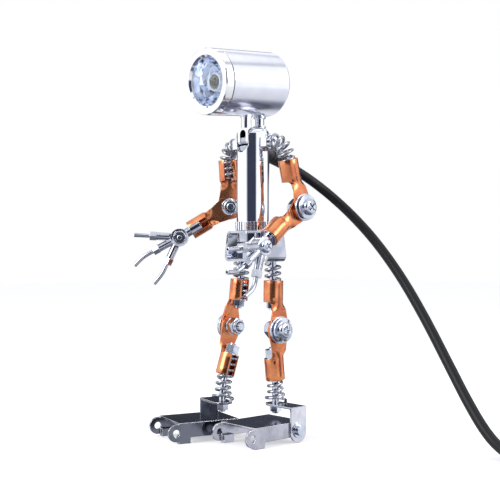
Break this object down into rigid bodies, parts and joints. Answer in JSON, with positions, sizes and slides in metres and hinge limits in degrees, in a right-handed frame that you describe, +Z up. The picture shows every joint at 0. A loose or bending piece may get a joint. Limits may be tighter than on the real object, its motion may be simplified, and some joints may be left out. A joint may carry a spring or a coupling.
{
  "type": "robot desk lamp",
  "caption": "Desk lamp shaped like a small robot: spotlight head on a chrome tube body with bolted lug and spring arms and legs, channel feet and a mains cord.",
  "frame": {"origin": "middle of the lamp's footprint on the table, without the cord", "axes": "+Z up, the robot faces -Y and its own left is +X"},
  "size_m": [0.3588, 0.2362, 0.289],
  "materials": {
    "satin_aluminium": "satin anodised",
    "polished_aluminium": "polished",
    "plain_aluminium": "machined",
    "black_rubber": "matte",
    "clear_glass": "clear",
    "mirror_coat": "mirror",
    "white_board": "matte",
    "chrome_plate": "polished",
    "dark_chrome": "polished black nickel",
    "bolt_steel": "bright zinc",
    "spring_steel": "bright drawn wire",
    "copper_plate": "polished copper plate",
    "black_plastic": "moulded",
    "black_cable": "smooth sheath",
    "plug_brass": "bright"
  },
  "bodies": {
    "torso": {"torso_tube": "chrome_plate", "neck_block": "chrome_plate", "shoulder_couplings": "chrome_plate", "knurled_ring": "chrome_plate", "waist_locknut": "chrome_plate", "cable_gland": "black_plastic", "cord_run": "black_cable", "cord_coil": "black_cable", "plug_body": "black_plastic", "plug_blades": "plug_brass"},
    "head": {"lamp_housing": "satin_aluminium", "front_bezel": "polished_aluminium", "bezel_gasket": "black_rubber", "cover_glass": "clear_glass", "reflector": "mirror_coat", "led_lens": "clear_glass", "led_board": "white_board", "heat_sink": "plain_aluminium", "switch_bezel": "chrome_plate", "neck_post": "chrome_plate", "neck_pin": "bolt_steel", "rear_post": "chrome_plate"},
    "switch": {"switch_button": "black_plastic"},
    "pelvis": {"pelvis_frame": "chrome_plate", "hip_rod_left": "bolt_steel", "hip_spring_left": "spring_steel", "thigh_lug_left": "copper_plate", "knee_bolt_left": "bolt_steel", "hip_rod_right": "bolt_steel", "hip_spring_right": "spring_steel", "thigh_lug_right": "copper_plate", "knee_bolt_right": "bolt_steel"},
    "shoulder_left": {"shoulder_spring_left": "spring_steel"},
    "upper_arm_left": {"upper_arm_lug_left": "copper_plate", "elbow_bolt_left": "bolt_steel"},
    "forearm_left": {"forearm_lug_left": "copper_plate", "wrist_eye_left": "chrome_plate", "wrist_bolt_left": "bolt_steel"},
    "hand_left": {"hand_left": "chrome_plate", "fingers_left": "chrome_plate"},
    "shin_left": {"shin_lug_left": "copper_plate", "ankle_rod_left": "bolt_steel", "ankle_spring_left": "spring_steel"},
    "bracket_left": {"ankle_bracket_left": "dark_chrome", "bracket_screw_left": "bolt_steel"},
    "foot_left": {"foot_channel_left": "dark_chrome"},
    "shoulder_right": {"shoulder_spring_right": "spring_steel"},
    "upper_arm_right": {"upper_arm_lug_right": "copper_plate", "elbow_bolt_right": "bolt_steel"},
    "forearm_right": {"forearm_lug_right": "copper_plate", "wrist_eye_right": "chrome_plate", "wrist_bolt_right": "bolt_steel"},
    "hand_right": {"hand_right": "chrome_plate", "fingers_right": "chrome_plate"},
    "shin_right": {"shin_lug_right": "copper_plate", "ankle_rod_right": "bolt_steel", "ankle_spring_right": "spring_steel"},
    "bracket_right": {"ankle_bracket_right": "dark_chrome", "bracket_screw_right": "bolt_steel"},
    "foot_right": {"foot_channel_right": "dark_chrome"}
  },
  "joints": [
    {"name": "head_tilt", "type": "hinge", "parent": "torso", "child": "head", "pos_m": [0.01613, 0.0077, 0.221], "axis": [1, 0, 0], "range_deg": [0, 30]},
    {"name": "switch_press", "type": "slide", "parent": "head", "child": "switch", "axis": [0, -0.9969, -0.0785], "range_m": [0, 0.0015], "stiffness_N_per_m": 500, "springref_m": -0.0015},
    {"name": "waist_turn", "type": "hinge", "parent": "torso", "child": "pelvis", "pos_m": [0.01613, 0.01445, 0.1605], "axis": [0, 0, 1], "range_deg": [-15, 15]},
    {"name": "shoulder_swing_left", "type": "hinge", "parent": "torso", "child": "shoulder_left", "pos_m": [0.01613, 0.01595, 0.219], "axis": [1, 0, 0], "range_deg": [-45, 4]},
    {"name": "arm_turn_left", "type": "hinge", "parent": "shoulder_left", "child": "upper_arm_left", "pos_m": [0.04763, 0.01595, 0.219], "axis": [0, -0.2419, 0.9703], "range_deg": [-4, 30]},
    {"name": "elbow_left", "type": "hinge", "parent": "upper_arm_left", "child": "forearm_left", "pos_m": [0.05561, 0.02859, 0.17062], "axis": [0.9976, 0.0677, 0.0169], "range_deg": [-40, 12]},
    {"name": "wrist_left", "type": "hinge", "parent": "forearm_left", "child": "hand_left", "pos_m": [0.04911, -0.0082, 0.14217], "axis": [0.9976, 0.0677, 0.0169], "range_deg": [-25, 25]},
    {"name": "knee_left", "type": "hinge", "parent": "pelvis", "child": "shin_left", "pos_m": [0.04163, 0.0177, 0.08096], "axis": [1, 0, 0], "range_deg": [-25, 60]},
    {"name": "ankle_left", "type": "hinge", "parent": "shin_left", "child": "bracket_left", "pos_m": [0.03218, 0.02249, 0.01845], "axis": [0, 0, 1], "range_deg": [0, 25]},
    {"name": "foot_pitch_left", "type": "hinge", "parent": "bracket_left", "child": "foot_left", "pos_m": [0.05508, 0.02249, 0.0092], "axis": [1, 0, 0], "range_deg": [-10, 10]},
    {"name": "shoulder_swing_right", "type": "hinge", "parent": "torso", "child": "shoulder_right", "pos_m": [0.01613, 0.01595, 0.219], "axis": [1, 0, 0], "range_deg": [-45, 15]},
    {"name": "arm_turn_right", "type": "hinge", "parent": "shoulder_right", "child": "upper_arm_right", "pos_m": [-0.01537, 0.01595, 0.219], "axis": [0, -0.0698, 0.9976], "range_deg": [-30, 20]},
    {"name": "elbow_right", "type": "hinge", "parent": "upper_arm_right", "child": "forearm_right", "pos_m": [-0.02167, 0.02407, 0.17346], "axis": [0.788, -0.6142, -0.0429], "range_deg": [-40, 40]},
    {"name": "wrist_right", "type": "hinge", "parent": "forearm_right", "child": "hand_right", "pos_m": [-0.03923, -0.01215, 0.14927], "axis": [0.788, -0.6142, -0.0429], "range_deg": [-25, 25]},
    {"name": "knee_right", "type": "hinge", "parent": "pelvis", "child": "shin_right", "pos_m": [-0.00937, 0.01321, 0.08125], "axis": [1, 0, 0], "range_deg": [-25, 60]},
    {"name": "ankle_right", "type": "hinge", "parent": "shin_right", "child": "bracket_right", "pos_m": [0.00008, -0.00213, 0.01845], "axis": [0, 0, 1], "range_deg": [-10, 15]},
    {"name": "foot_pitch_right", "type": "hinge", "parent": "bracket_right", "child": "foot_right", "pos_m": [-0.02204, 0.0038, 0.0092], "axis": [0.9659, -0.2588, 0], "range_deg": [-10, 10]}
  ]
}
